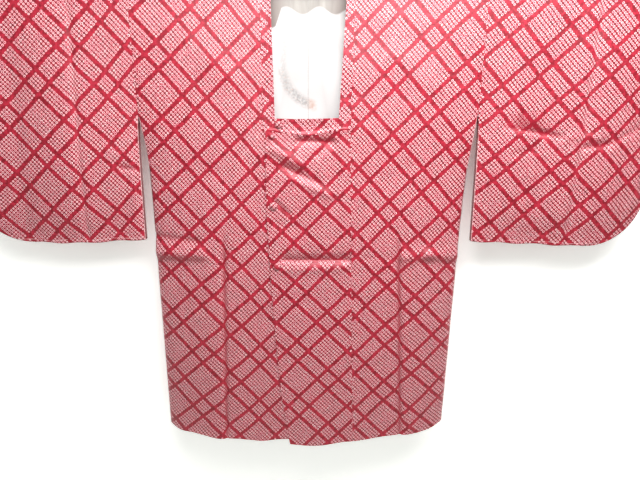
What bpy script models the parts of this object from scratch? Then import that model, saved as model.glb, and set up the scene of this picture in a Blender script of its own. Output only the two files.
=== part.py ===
"""A michiyuki coat, hung flat on a kimono hanger by its hook.

Metres, +Z up. The viewer stands at -Y, so +X is the wearer's left side, whose front lies on top.
The origin is the inside top of the hook. Every cloth piece is cut in flat cloth sizes, across (x) and
along the run of the cloth over the hanger's rod, and drape() hangs it.
"""

import math

import bmesh
import bpy
from mathutils import Vector

# Cloth walls
CLOTH = 0.0014           # face silk and lining as one wall
LINING = 0.0010          # the lining where it shows in the neck
SEAM = 0.0003            # gap between two pieces that are sewn together
LAYER = 0.0006           # air between two layers that lie on each other

# Hanger
ROD_RADIUS = 0.0075
ROD_HALF = 0.630
ROD_DROP = 0.075         # from the hook's inside top down to the rod's axis
ROD_SIDES = 24
ROD_EDGE = 40            # degrees; the rod's ends stay sharp
WIRE_RADIUS = 0.002
HOOK_RADIUS = 0.018
HOOK_TIP = 200           # degrees round from +X, where the hook's free end stops
HOOK_NECK = -40          # degrees, where the hook turns into its stem
STEM_TOP = -0.046
STEM_SUNK = 0.010        # length of the stem inside the rod
STEM_HOLE = WIRE_RADIUS + SEAM
STEM_HOLE_SIDES = 16
HOOK_STEPS, STEM_STEPS = 16, 6
STEM_PULL = 0.010        # length of the handles of the bend between hook and stem

# The cloth's roll over the rod
ROLL = ROD_RADIUS + LAYER + CLOTH / 2
QUARTER = ROLL * math.pi / 2
ROLL_STEPS = 8
SHOULDER = ROLL - ROD_DROP

# Lengths down from the shoulder line
ARMHOLE = {-1: 0.229, 1: 0.218}
SIDE_SLIT = 0.325        # the open slit under the arm ends here
HEM = {-1: 0.884, 1: 0.877}
BACK_HEM = 0.883
UPPER_HEM = 0.014        # the upper front hangs this much lower at its edge
UPPER_REACH = 0.100
LOWER_RISE = 0.005       # the lap underneath hangs this much higher
LOWER_RISE_PLACE, LOWER_RISE_REACH = -0.10, 0.04
HEM_SIDE = 0.29          # from the centre line to where the back hem reaches the side's length
NECK_DROP = 0.2265
COLLAR_DROP = 0.2475
BACK_NECK = 0.0227

# Widths from the centre line
NECK_SEAM = 0.082
NECK_EDGE_TOP = 0.063
NECK_EDGE = 0.056
COLLAR_TURN = 0.054      # the collar's inner edge where it turns along the back of the neck
COLLAR_BACK_START = 0.003
COLLAR_BACK_RUN = 0.0055
COLLAR_LIFT = 0.0005     # the band stands this much off the rod
SHOULDER_HALF = 0.312
# Collar ends, lapped over each other below the throat: outer edge, inner edge
COLLAR_ENDS = {-1: (0.0690, 0.0540), 1: (-0.0765, -NECK_EDGE)}

# The two fronts part into an upper and a lower layer: from the sides in, and from the shoulder down
LAP_PLACE, LAP_REACH = 0.085, 0.06
LAP_START, LAP_LENGTH = 0.03, 0.12

# Sleeves
SLEEVE_WIDTH = 0.330
SLEEVE_CORNER = 0.100
SLEEVE_DROP = 0.469
SLEEVE_RISE = 0.008      # the bottom edge is this much higher at the body
CUFF = 0.230
SLEEVE_PUFF = 0.006
BACK_SHIFT = 0.004       # the sleeve's back layer shows past the front one beside the body
EDGE_BULGE = 0.002
CUFF_STEP = 0.012        # length of the seam's first row below the cuff
SLEEVE_OPEN = 0.223      # drop where the sleeve leaves the body
SLEEVE_GAP = 0.0045      # half gap between its layers there
SLEEVE_GAP_LOW = 0.0035  # and near its bottom
SHIFT_LENGTH = 0.10
RISE_START = 0.30
PUFF_FULL, PUFF_FADE = 0.25, 0.40
WAVE_START, WAVE_LENGTH = 0.02, 0.16
WAVE_INNER, WAVE_OUTER = 0.06, 0.03

# Roundness of the coat's level section
SECTION_X = 2.1
SECTION_Y = 1.6
FRONT_BELLY = 0.060      # the front's reach at the hem
BACK_BELLY = 0.022
BELLY_DROP = 0.883
SWAY = 0.003             # the body hangs this much towards the wearer's right below the arms
SWAY_START, SWAY_LENGTH = 0.23, 0.12

# Drop, half width of the body, half gap between front and back at the side edge
SIDES = (
    (0.000, 0.3120, 0.0088),
    (0.223, 0.3120, 0.0045),
    (0.260, 0.3095, 0.0042),
    (0.325, 0.3062, 0.0000),
    (0.380, 0.3040, 0.0000),
    (0.460, 0.3005, 0.0000),
    (0.510, 0.2985, 0.0000),
    (0.885, 0.2975, 0.0000),
)
# Drop, front seam of the upper front, of the lower front, free edge of the upper lap, of the lower lap
LAPS = (
    (0.0000, 0.0820, -0.0820, -0.0775, 0.0690),
    (0.2475, 0.0773, -0.0826, -0.0772, 0.0690),
    (0.4000, 0.0810, -0.0867, -0.0780, 0.0690),
    (0.5100, 0.0838, -0.0904, -0.0725, 0.0650),
    (0.6400, 0.0870, -0.0946, -0.0648, 0.0570),
    (0.7600, 0.0900, -0.0984, -0.0545, 0.0470),
    (0.8900, 0.0932, -0.1026, -0.0355, 0.0300),
)
UPPER_SEAM, LOWER_SEAM, UPPER_EDGE, LOWER_EDGE = 1, 2, 3, 4
# Soft upright folds of the fronts: side, distance from the centre at their start, at the hem, start, depth
FRONT_FOLDS = (
    (-1, 0.160, 0.172, 0.38, 0.005),
    (1, 0.170, 0.193, 0.38, 0.005),
)
FOLD_REACH = 0.045
FOLD_GROWTH = 0.2        # length over which a fold grows to its depth
FOLD_RISE = (-0.3, 0.5)  # start and length of its steep inner side, in fold reaches
FOLD_FALL = (0.4, 1.4)   # and of its slow outer side
# Soft upright waves of the sleeves: side, distance from the sleeve's inner edge, half width, depth
SLEEVE_WAVES = (
    (-1, 0.130, 0.050, 0.005),
    (-1, 0.245, 0.045, -0.004),
    (1, 0.240, 0.050, 0.005),
    (1, 0.120, 0.045, -0.004),
)
# Covered buttons: distance from the centre, drop, radius
BUTTONS = (
    (-0.0528, 0.2397, 0.0060),
    (-0.0662, 0.2600, 0.0062),
    (-0.0640, 0.3884, 0.0075),
    (-0.0598, 0.5059, 0.0068),
)
BUTTON_HEIGHT = 0.0045
BUTTON_RIM = 0.3         # share of the height at the rim
BUTTON_FOOT = 0.9        # share of the radius where the button sits
DOME_ANGLES = (0.5, 0.95, 1.3)
SEAT_STEP = 0.002        # step for reading the cloth's slope under a button

# Mesh steps
BODY_COLUMNS = 10
NECK_COLUMNS = 3
UPPER_ROWS, SLIT_ROWS, LOWER_ROWS = 6, 2, 12
LAP_COLUMNS, LAP_ROWS = 5, 14
COLLAR_COLUMNS, COLLAR_LEVEL, COLLAR_UP = 6, 5, 7
SLEEVE_COLUMNS, SLEEVE_UPPER, SLEEVE_LOWER, SLEEVE_ROUND = 11, 6, 4, 5
LINING_COLUMNS, LINING_ROWS = 4, 9
LINING_TOP, LINING_END, LINING_HALF = 0.0265, 0.340, 0.140
BUTTON_SIDES = 20

COLOURS = {
    "red_silk": ((0.560, 0.060, 0.105, 1.0), 0.62, 0.0),
    "white_silk": ((0.860, 0.850, 0.820, 1.0), 0.50, 0.0),
    "rod_wood": ((0.520, 0.330, 0.180, 1.0), 0.55, 0.0),
    "hook_steel": ((0.620, 0.620, 0.630, 1.0), 0.30, 1.0),
}


def soft(t):
    """Smooth step from 0 to 1."""
    t = min(max(t, 0.0), 1.0)
    return t * t * (3 - 2 * t)


def read(table, drop, column):
    """Value of a table's column at a drop, straight between its rows."""
    for upper, lower in zip(table, table[1:]):
        if drop <= lower[0]:
            share = (drop - upper[0]) / (lower[0] - upper[0])
            return upper[column] + max(share, 0.0) * (lower[column] - upper[column])
    return table[-1][column]


def drop_of(run):
    """Height below the shoulder line of a run along the cloth, past the roll over the rod."""
    return ROLL + abs(run) - QUARTER


def run_of(drop):
    return drop - ROLL + QUARTER


def half_width(side, drop):
    sway = SWAY * soft((drop - SWAY_START) / SWAY_LENGTH)
    return read(SIDES, drop, 1) - side * sway


def roundness(x, drop):
    """1 at the centre of the level section, 0 at its side edge."""
    share = min(abs(x) / half_width(1 if x > 0 else -1, drop), 1.0)
    return (1 - share ** SECTION_X) ** (1 / SECTION_Y)


def belly(reach, drop):
    """How far the cloth stands off the middle plane at the centre, more towards the hem."""
    return ROLL + (reach - ROLL) * max(drop - ROLL, 0.0) / (BELLY_DROP - ROLL)


def fold_depth(x, drop):
    """The outer strip of each front stands forward along a soft upright fold."""
    depth = 0.0
    for side, start_place, hem_place, start, height in FRONT_FOLDS:
        share = min(max((drop - start) / (BELLY_DROP - start), 0.0), 1.0)
        past = (x * side - start_place - (hem_place - start_place) * share) / FOLD_REACH
        rise = soft((past - FOLD_RISE[0]) / FOLD_RISE[1])
        fall = soft((past - FOLD_FALL[0]) / FOLD_FALL[1])
        depth += height * soft((drop - start) / FOLD_GROWTH) * rise * (1 - fall)
    return depth


def front_depth(x, drop):
    side_gap = read(SIDES, drop, 2)
    rise = belly(FRONT_BELLY, drop) - side_gap + fold_depth(x, drop)
    return side_gap + rise * roundness(x, drop)


def back_depth(x, drop):
    side_gap = read(SIDES, drop, 2)
    return side_gap + (belly(BACK_BELLY, drop) - side_gap) * roundness(x, drop)


def drape(x, run, lift=0.0):
    """A point of the cloth in space. run is negative down the front, positive down the back."""
    if abs(run) < QUARTER:
        angle = run / ROLL
        radius = ROLL + lift
        return Vector((x, radius * math.sin(angle), radius * math.cos(angle) - ROD_DROP))
    drop = drop_of(run)
    if run < 0:
        return Vector((x, -front_depth(x, drop) - lift, SHOULDER - drop))
    return Vector((x, back_depth(x, drop) + lift, SHOULDER - drop))


def lap_lift(side, x, drop):
    """The upper front lies outside the lower one, and both return to one surface at the sides."""
    height = (CLOTH + LAYER) / 2
    away = 1 - soft((abs(x) - LAP_PLACE) / LAP_REACH)
    if x * side < 0:
        away = 1.0
    return side * height * away * soft((drop - LAP_START) / LAP_LENGTH)


def front_hem(side, x):
    if side < 0:
        return HEM[side] - LOWER_RISE * soft((x - LOWER_RISE_PLACE) / LOWER_RISE_REACH)
    return HEM[side] + UPPER_HEM * math.exp(-((x / UPPER_REACH) ** 2))


def back_hem(side, x):
    share = min(abs(x) / HEM_SIDE, 1.0)
    return BACK_HEM + (HEM[side] - BACK_HEM) * share


def body_drops(side, hem):
    """Levels of the body's rows from the roll down to the hem."""
    armhole = ARMHOLE[side]
    upper = [ROLL + (armhole - ROLL) * k / UPPER_ROWS for k in range(UPPER_ROWS + 1)]
    slit = [armhole + (SIDE_SLIT - armhole) * k / SLIT_ROWS for k in range(1, SLIT_ROWS + 1)]
    lower = [SIDE_SLIT + (hem - SIDE_SLIT) * k / LOWER_ROWS for k in range(1, LOWER_ROWS + 1)]
    return upper + slit + lower


def back_neck_run(x):
    """Run of the back neck seam, from the roll at the neck's corner to its lowest at the centre."""
    share = min(abs(x) / NECK_SEAM, 1.0)
    return QUARTER + (BACK_NECK - ROLL) * math.sqrt(1 - share * share)


def mesh_object(name, bm, material):
    mesh = bpy.data.meshes.new(name)
    bm.to_mesh(mesh)
    bm.free()
    mesh.shade_smooth()
    mesh.materials.append(MATERIALS[material])
    thing = bpy.data.objects.new(name, mesh)
    COAT.objects.link(thing)
    return thing


def cloth_object(name, bm, material="red_silk", wall=CLOTH):
    """Turns an open cloth surface into a closed wall."""
    bmesh.ops.recalc_face_normals(bm, faces=bm.faces)
    thing = mesh_object(name, bm, material)
    shell = thing.modifiers.new("wall", "SOLIDIFY")
    shell.thickness = wall
    shell.offset = 0.0
    return thing


def grid_faces(bm, grid):
    """Quads between neighbouring rows of vertices."""
    for upper, lower in zip(grid, grid[1:]):
        for k in range(len(upper) - 1):
            bm.faces.new((upper[k], upper[k + 1], lower[k + 1], lower[k]))


def body_half(side):
    """One length of cloth from the front hem over the shoulder to the back hem, sewn down its side."""
    bm = bmesh.new()
    name = "body_left" if side > 0 else "body_right"
    seam = UPPER_SEAM if side > 0 else LOWER_SEAM
    bends = [math.sin(math.pi / 2 * k / BODY_COLUMNS) for k in range(BODY_COLUMNS + 1)]
    count = len(body_drops(side, HEM[side]))

    def across(drop, inner, bend):
        sewn = SEAM / 2 if drop <= ARMHOLE[side] + SEAM else 0.0
        return side * (inner + (half_width(side, drop) - sewn - inner) * bend)

    def point(row, inner, bend, back):
        """Place of a grid point: its row is set at the side's hem first, then at the hem where it lies."""
        level = body_drops(side, HEM[side])[row]
        x = across(level, inner(level), bend)
        drop = body_drops(side, back_hem(side, x) if back else front_hem(side, x))[row]
        return (x, run_of(drop), 0.0) if back else (x, -run_of(drop), lap_lift(side, x, drop))

    def front_inner(level):
        return abs(read(LAPS, level, seam)) + SEAM / 2

    def back_inner(level):
        return NECK_SEAM + SEAM / 2

    front = []
    for row in range(count):
        front.append([bm.verts.new(drape(*point(row, front_inner, bend, False))) for bend in bends])

    roll = []
    for step in range(1, ROLL_STEPS):
        run = -QUARTER + 2 * QUARTER * step / ROLL_STEPS
        roll.append([bm.verts.new(drape(across(ROLL, NECK_SEAM + SEAM / 2, bend), run)) for bend in bends])

    back = []
    for row in range(count):
        line = [bm.verts.new(drape(*point(row, back_inner, bend, True))) for bend in bends[:-1]]
        if row >= UPPER_ROWS + SLIT_ROWS:
            line.append(front[row][-1])
        else:
            line.append(bm.verts.new(drape(*point(row, back_inner, 1.0, True))))
        back.append(line)

    grid_faces(bm, front[::-1] + roll + back)

    # Centre of the back, below the neck seam
    centre = []
    xs = [side * (SEAM / 2 + NECK_SEAM * k / NECK_COLUMNS) for k in range(NECK_COLUMNS)]
    neckline = [bm.verts.new(drape(x, back_neck_run(x) + SEAM / 2)) for x in xs]
    centre.append(neckline + [back[0][0]])
    for row in range(2, count):
        drops = [body_drops(side, back_hem(side, x))[row] for x in xs]
        line = [bm.verts.new(drape(x, run_of(drop))) for x, drop in zip(xs, drops)]
        centre.append(line + [back[row][0]])
    grid_faces(bm, centre)
    bm.faces.new((back[0][0], back[1][0], back[2][0]))
    return cloth_object(name, bm)


def front_lap(side):
    """The overlap panel down the front edge, from the collar to the hem."""
    bm = bmesh.new()
    seam, edge = (UPPER_SEAM, UPPER_EDGE) if side > 0 else (LOWER_SEAM, LOWER_EDGE)
    grid = []
    for row in range(LAP_ROWS + 1):
        line = []
        for k in range(LAP_COLUMNS + 1):
            level = COLLAR_DROP + SEAM / 2 + (HEM[side] - COLLAR_DROP) * row / LAP_ROWS
            outer = read(LAPS, level, seam) - side * SEAM / 2
            x = outer + (read(LAPS, level, edge) - outer) * k / LAP_COLUMNS
            hem = front_hem(side, x)
            drop = COLLAR_DROP + SEAM / 2 + (hem - COLLAR_DROP - SEAM / 2) * row / LAP_ROWS
            line.append(bm.verts.new(drape(x, -run_of(drop), lap_lift(side, x, drop))))
        grid.append(line)
    grid_faces(bm, grid)
    return cloth_object("lap_left" if side > 0 else "lap_right", bm)


def collar_rows():
    """Edges of the collar band as (side of the lap, seam x, seam run, inner x, inner run), end to end."""
    rows = []
    neck_run, seam_run = -run_of(NECK_DROP), -run_of(COLLAR_DROP - SEAM / 2)

    def level_part(side):
        corner = abs(read(LAPS, COLLAR_DROP, UPPER_SEAM if side > 0 else LOWER_SEAM)) - SEAM / 2
        far_seam, far_inner = COLLAR_ENDS[side]
        part = []
        for k in range(COLLAR_LEVEL + 1):
            share = k / COLLAR_LEVEL
            outer = far_seam + (side * corner - far_seam) * share
            inner = far_inner + (side * NECK_EDGE - far_inner) * share
            part.append((side, outer, seam_run, inner, neck_run))
        return part

    def upright_part(side):
        part = []
        column = UPPER_SEAM if side > 0 else LOWER_SEAM
        for k in range(1, COLLAR_UP + 1):
            share = 1 - k / COLLAR_UP
            outer_run = -QUARTER + (seam_run + QUARTER) * share
            inner_run = -QUARTER + (neck_run + QUARTER) * share
            outer = side * (abs(read(LAPS, drop_of(outer_run), column)) - SEAM / 2)
            inner = side * (NECK_EDGE_TOP + (NECK_EDGE - NECK_EDGE_TOP) * share)
            part.append((side, outer, outer_run, inner, inner_run))
        return part

    def roll_part(side):
        part = []
        for k in range(1, ROLL_STEPS + 1):
            share = k / ROLL_STEPS
            inner = side * (NECK_EDGE_TOP + (COLLAR_TURN - NECK_EDGE_TOP) * share)
            outer_run = -QUARTER + 2 * QUARTER * share
            inner_run = -QUARTER + (QUARTER + COLLAR_BACK_START) * share
            part.append((side, side * (NECK_SEAM - SEAM / 2), outer_run, inner, inner_run))
        return part

    def back_part():
        part = []
        for k in range(NECK_COLUMNS - 1, -NECK_COLUMNS, -1):
            share = k / NECK_COLUMNS
            arch = math.sqrt(1 - share * share)
            inner_run = COLLAR_BACK_START + (COLLAR_BACK_RUN - COLLAR_BACK_START) * arch
            x = NECK_SEAM * share
            side = 1 if share >= 0 else -1
            part.append((side, x, back_neck_run(x) - SEAM / 2, COLLAR_TURN * share, inner_run))
        return part

    rows += level_part(1) + upright_part(1) + roll_part(1) + back_part()
    rows += roll_part(-1)[::-1] + upright_part(-1)[::-1] + level_part(-1)[::-1]
    return rows


def collar():
    """One narrow band round the neck: mitred at the two front corners, its ends lapped with the fronts."""
    bm = bmesh.new()
    grid = []
    for side, outer, outer_run, inner, inner_run in collar_rows():
        line = []
        for k in range(COLLAR_COLUMNS + 1):
            share = k / COLLAR_COLUMNS
            x = outer + (inner - outer) * share
            run = outer_run + (inner_run - outer_run) * share
            if run < -QUARTER:
                lift = lap_lift(side, x, drop_of(run))
            else:
                lift = COLLAR_LIFT * soft(2 + run / QUARTER)
            line.append(bm.verts.new(drape(x, run, lift)))
        grid.append(line)
    grid_faces(bm, grid)
    return cloth_object("collar", bm)


def sleeve(side):
    """A bag of one length folded over the rod: open at the cuff and beside the body below the armhole."""
    bm = bmesh.new()
    corner_drop = SLEEVE_DROP - SLEEVE_CORNER
    armhole = ARMHOLE[side]
    upper = [ROLL + (armhole - ROLL) * k / SLEEVE_UPPER for k in range(SLEEVE_UPPER + 1)]
    cuff_row = len(upper)
    below_cuff = CUFF + CUFF_STEP
    middle = [below_cuff + (corner_drop - below_cuff) * k / SLEEVE_LOWER for k in range(SLEEVE_LOWER + 1)]
    levels = [(drop, SLEEVE_WIDTH) for drop in upper + middle]
    for k in range(1, SLEEVE_ROUND + 1):
        turn = math.pi / 2 * k / SLEEVE_ROUND
        width = SLEEVE_WIDTH - SLEEVE_CORNER * (1 - math.cos(turn))
        levels.append((corner_drop + SLEEVE_CORNER * math.sin(turn), width))

    def wave(across, drop):
        height = 0.0
        for wave_side, place, half, depth in SLEEVE_WAVES:
            if wave_side == side:
                height += depth * math.exp(-((across - place) / half) ** 2)
        held = soft(across / WAVE_INNER) * soft((SLEEVE_WIDTH - across) / WAVE_OUTER)
        return height * held * soft((drop - WAVE_START) / WAVE_LENGTH)

    def place(share, drop, width, back):
        shift = BACK_SHIFT * soft((drop - CUFF) / SHIFT_LENGTH) if back else 0.0
        across = SEAM / 2 - shift + (width - SEAM / 2 + shift) * share
        lowered = soft((drop - RISE_START) / (SLEEVE_DROP - RISE_START))
        level = drop - SLEEVE_RISE * (1 - share) ** 2 * lowered
        narrowing = (SLEEVE_GAP - SLEEVE_GAP_LOW) * soft((drop - SLEEVE_OPEN) / SLEEVE_OPEN)
        gap = read(SIDES, min(drop, SLEEVE_OPEN), 2) - narrowing
        faded = soft((drop - PUFF_FADE) / (SLEEVE_DROP - PUFF_FADE))
        puff = SLEEVE_PUFF * math.sin(math.pi * share) * soft(drop / PUFF_FULL) * (1 - faded)
        depth = gap + puff if back else -gap - puff
        return Vector((side * (SHOULDER_HALF + across), depth - wave(across, level), SHOULDER - level))

    def layer(back):
        rows = []
        for drop, width in levels:
            shares = [k / SLEEVE_COLUMNS for k in range(SLEEVE_COLUMNS + 1)]
            rows.append([bm.verts.new(place(share, drop, width, back)) for share in shares])
        return rows

    front, back = layer(False), layer(True)
    grid_faces(bm, front)
    grid_faces(bm, back)

    roll = [front[0]]
    for step in range(1, ROLL_STEPS):
        run = -QUARTER + 2 * QUARTER * step / ROLL_STEPS
        roll.append([bm.verts.new(drape(vertex.co.x, run)) for vertex in front[0]])
    grid_faces(bm, roll + [back[0]])

    # Outer seam below the cuff opening, then the bottom seam
    outer = []
    for ahead, behind in zip(front[cuff_row:], back[cuff_row:]):
        middle_point = (ahead[-1].co + behind[-1].co) / 2
        middle_point.x += side * EDGE_BULGE
        outer.append(bm.verts.new(middle_point))
    rows = range(cuff_row, len(front))
    grid_faces(bm, [[front[r][-1] for r in rows], outer, [back[r][-1] for r in rows]])
    bottom = []
    for ahead, behind in zip(front[-1][:-1], back[-1][:-1]):
        middle_point = (ahead.co + behind.co) / 2
        middle_point.z -= EDGE_BULGE
        bottom.append(bm.verts.new(middle_point))
    grid_faces(bm, [front[-1], bottom + [outer[-1]], back[-1]])
    return cloth_object("sleeve_left" if side > 0 else "sleeve_right", bm)


def lining(side):
    """The white lining of the back, where it shows through the neck."""
    bm = bmesh.new()
    lift = -(CLOTH / 2 + SEAM + LINING / 2)
    grid = []
    for row in range(LINING_ROWS + 1):
        drop = LINING_TOP + (LINING_END - LINING_TOP) * row / LINING_ROWS
        xs = [side * (SEAM / 2 + LINING_HALF * k / LINING_COLUMNS) for k in range(LINING_COLUMNS + 1)]
        grid.append([bm.verts.new(drape(x, run_of(drop), lift)) for x in xs])
    grid_faces(bm, grid)
    return cloth_object("lining_left" if side > 0 else "lining_right", bm, "white_silk", LINING)


def button(number, x, drop, radius):
    """A domed disc turned about its own axis, seated on the upper front."""
    profile = [(0.0, BUTTON_HEIGHT)]
    for turn in DOME_ANGLES:
        height = BUTTON_HEIGHT * (BUTTON_RIM + (1 - BUTTON_RIM) * math.cos(turn))
        profile.append((radius * math.sin(turn), height))
    profile += [(radius, BUTTON_HEIGHT * BUTTON_RIM), (radius * BUTTON_FOOT, 0.0), (0.0, 0.0)]
    bm = bmesh.new()
    points = [bm.verts.new((across, 0.0, height)) for across, height in profile]
    for first, second in zip(points, points[1:]):
        bm.edges.new((first, second))
    thing = mesh_object(f"button_{number}", bm, "red_silk")
    turn = thing.modifiers.new("turn", "SCREW")
    turn.axis = "Z"
    turn.steps = turn.render_steps = BUTTON_SIDES
    turn.use_merge_vertices = True
    turn.merge_threshold = 0.0001
    turn.use_smooth_shade = True
    lift = lap_lift(1, x, drop) + CLOTH / 2 + SEAM
    run = -run_of(drop)
    seat = drape(x, run, lift)
    along = drape(x, run - SEAT_STEP, lift) - drape(x, run + SEAT_STEP, lift)
    sideways = drape(x + SEAT_STEP, run, lift) - drape(x - SEAT_STEP, run, lift)
    normal = along.cross(sideways).normalized()
    if normal.y > 0:
        normal.negate()
    thing.rotation_mode = "QUATERNION"
    thing.rotation_quaternion = normal.to_track_quat("Z", "X")
    thing.location = seat
    return thing


def rod():
    bm = bmesh.new()
    bmesh.ops.create_cone(
        bm, cap_ends=True, segments=ROD_SIDES, radius1=ROD_RADIUS, radius2=ROD_RADIUS, depth=2 * ROD_HALF
    )
    thing = mesh_object("hanger_rod", bm, "rod_wood")
    thing.data.set_sharp_from_angle(angle=math.radians(ROD_EDGE))
    thing.rotation_euler = (0.0, math.pi / 2, 0.0)
    thing.location = (0.0, 0.0, -ROD_DROP)

    cutter_mesh = bmesh.new()
    hole = STEM_SUNK + SEAM
    bmesh.ops.create_cone(
        cutter_mesh,
        cap_ends=True,
        segments=STEM_HOLE_SIDES,
        radius1=STEM_HOLE,
        radius2=STEM_HOLE,
        depth=2 * hole,
    )
    mesh = bpy.data.meshes.new("stem_hole")
    cutter_mesh.to_mesh(mesh)
    cutter_mesh.free()
    cutter = bpy.data.objects.new("stem_hole", mesh)
    CUTTERS.objects.link(cutter)
    cutter.location = (0.0, 0.0, ROD_RADIUS - ROD_DROP)
    cutter.hide_render = True
    cutter.display_type = "WIRE"
    cut = thing.modifiers.new("hole", "BOOLEAN")
    cut.operation = "DIFFERENCE"
    cut.object = cutter
    return thing


def hook():
    """A wire hook in the coat's plane, with its stem set in the rod."""
    centre = WIRE_RADIUS - HOOK_RADIUS
    route = []
    for k in range(HOOK_STEPS + 1):
        angle = math.radians(HOOK_TIP + (HOOK_NECK - HOOK_TIP) * k / HOOK_STEPS)
        route.append((HOOK_RADIUS * math.cos(angle), centre + HOOK_RADIUS * math.sin(angle)))
    start, heading = route[-1], math.radians(HOOK_NECK - 90)
    first = (start[0] + STEM_PULL * math.cos(heading), start[1] + STEM_PULL * math.sin(heading))
    end = (0.0, STEM_TOP)
    second = (0.0, STEM_TOP + STEM_PULL)
    for k in range(1, STEM_STEPS + 1):
        t = k / STEM_STEPS
        weights = ((1 - t) ** 3, 3 * t * (1 - t) ** 2, 3 * t * t * (1 - t), t ** 3)
        points = (start, first, second, end)
        route.append(tuple(sum(w * p[axis] for w, p in zip(weights, points)) for axis in (0, 1)))
    route.append((0.0, (STEM_TOP + ROD_RADIUS - ROD_DROP) / 2))
    route.append((0.0, ROD_RADIUS - ROD_DROP - STEM_SUNK))

    curve = bpy.data.curves.new("hook_route", "CURVE")
    curve.dimensions = "3D"
    curve.bevel_depth = WIRE_RADIUS
    curve.bevel_resolution = 2
    curve.use_fill_caps = True
    spline = curve.splines.new("POLY")
    spline.points.add(len(route) - 1)
    for point, (x, z) in zip(spline.points, route):
        point.co = (x, 0.0, z, 1.0)
    source = bpy.data.objects.new("hook_route", curve)
    COAT.objects.link(source)
    bpy.context.view_layer.update()
    ready = source.evaluated_get(bpy.context.evaluated_depsgraph_get())
    mesh = bpy.data.meshes.new_from_object(ready)
    bpy.data.objects.remove(source)
    bm = bmesh.new()
    bm.from_mesh(mesh)
    bpy.data.meshes.remove(mesh)
    bmesh.ops.remove_doubles(bm, verts=bm.verts, dist=0.00005)
    return mesh_object("hanger_hook", bm, "hook_steel")


def make_materials():
    made = {}
    for name, (colour, roughness, metallic) in COLOURS.items():
        material = bpy.data.materials.new(name)
        material.use_nodes = True
        shader = material.node_tree.nodes["Principled BSDF"]
        shader.inputs["Base Color"].default_value = colour
        shader.inputs["Roughness"].default_value = roughness
        shader.inputs["Metallic"].default_value = metallic
        made[name] = material
    return made


def new_collection(name):
    collection = bpy.data.collections.new(name)
    bpy.context.scene.collection.children.link(collection)
    return collection


for old in list(bpy.data.objects):
    bpy.data.objects.remove(old)
MATERIALS = make_materials()
COAT = new_collection("michiyuki_coat")
CUTTERS = new_collection("cutters")

for half in (-1, 1):
    body_half(half)
    front_lap(half)
    sleeve(half)
    lining(half)
collar()
for index, (place_x, place_drop, size) in enumerate(BUTTONS, start=1):
    button(index, place_x, place_drop, size)
rod()
hook()
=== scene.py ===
"""The michiyuki coat of lattice-patterned red silk, hung before a white wall.

Metres, +Z up, with the viewer at -Y. Side -1 is the wearer's right and side 1 the left. A drop is a height
below the shoulder line, and a run is a length along the cloth from the top of its roll over the rod,
negative down the front. The shells repeat part.py's sizes on a finer grid, with the hung coat's creases,
and each carries the place of its cloth in the pattern, so that one silk serves them all.
"""

from math import cos, exp, hypot, pi, radians, sin, sqrt, tanh

import bpy
from mathutils import Matrix, Vector, noise


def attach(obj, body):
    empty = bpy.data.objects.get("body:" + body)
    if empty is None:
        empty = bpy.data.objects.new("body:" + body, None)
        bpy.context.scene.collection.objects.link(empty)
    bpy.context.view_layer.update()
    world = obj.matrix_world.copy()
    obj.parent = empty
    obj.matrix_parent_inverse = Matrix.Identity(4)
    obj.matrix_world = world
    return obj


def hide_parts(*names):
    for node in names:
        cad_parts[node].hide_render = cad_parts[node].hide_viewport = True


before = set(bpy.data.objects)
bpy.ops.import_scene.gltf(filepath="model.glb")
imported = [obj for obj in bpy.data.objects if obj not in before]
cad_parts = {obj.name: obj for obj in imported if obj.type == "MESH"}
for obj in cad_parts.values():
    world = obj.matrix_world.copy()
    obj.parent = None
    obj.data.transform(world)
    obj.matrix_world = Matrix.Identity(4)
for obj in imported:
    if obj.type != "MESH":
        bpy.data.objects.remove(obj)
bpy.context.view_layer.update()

# Sizes are part.py's, unless a comment says otherwise. Cloth walls, and the air between two of them
CLOTH = 0.0014
LINING = 0.0010
LAYER = 0.0006

# Gap at the seams, closer than in part.py so that they don't gape
SEAM = 0.0001

# Hanger, and the cloth's roll over its rod
ROD_RADIUS = 0.0075
ROD_DROP = 0.075
ROLL = ROD_RADIUS + LAYER + CLOTH / 2
QUARTER = ROLL * pi / 2
SHOULDER = ROLL - ROD_DROP

# Drops and lengths
ARMHOLE = {-1: 0.229, 1: 0.218}
SIDE_SLIT = 0.325
HEM = {-1: 0.884, 1: 0.877}
BACK_HEM = 0.883
UPPER_HEM = 0.014
UPPER_REACH = 0.100
LOWER_RISE = 0.005
LOWER_RISE_PLACE, LOWER_RISE_REACH = -0.10, 0.04
HEM_SIDE = 0.29
NECK_DROP = 0.2265
COLLAR_DROP = 0.2475
BACK_NECK = 0.0227

# Widths from the centre line, with other places than part.py's for the neck's two edges
NECK_SEAM = 0.082
NECK_EDGE_TOP = {-1: 0.0650, 1: 0.0680}
NECK_EDGE = {-1: 0.0600, 1: 0.0560}
COLLAR_TURN = 0.054
COLLAR_BACK_START = 0.003
COLLAR_BACK_RUN = 0.0055
COLLAR_LIFT = 0.0005
SHOULDER_HALF = 0.312
COLLAR_ENDS = {-1: (0.0690, 0.0540), 1: (-0.0765, -NECK_EDGE[-1])}
LAP_PLACE, LAP_REACH = 0.085, 0.06
LAP_START, LAP_LENGTH = 0.03, 0.12

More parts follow.
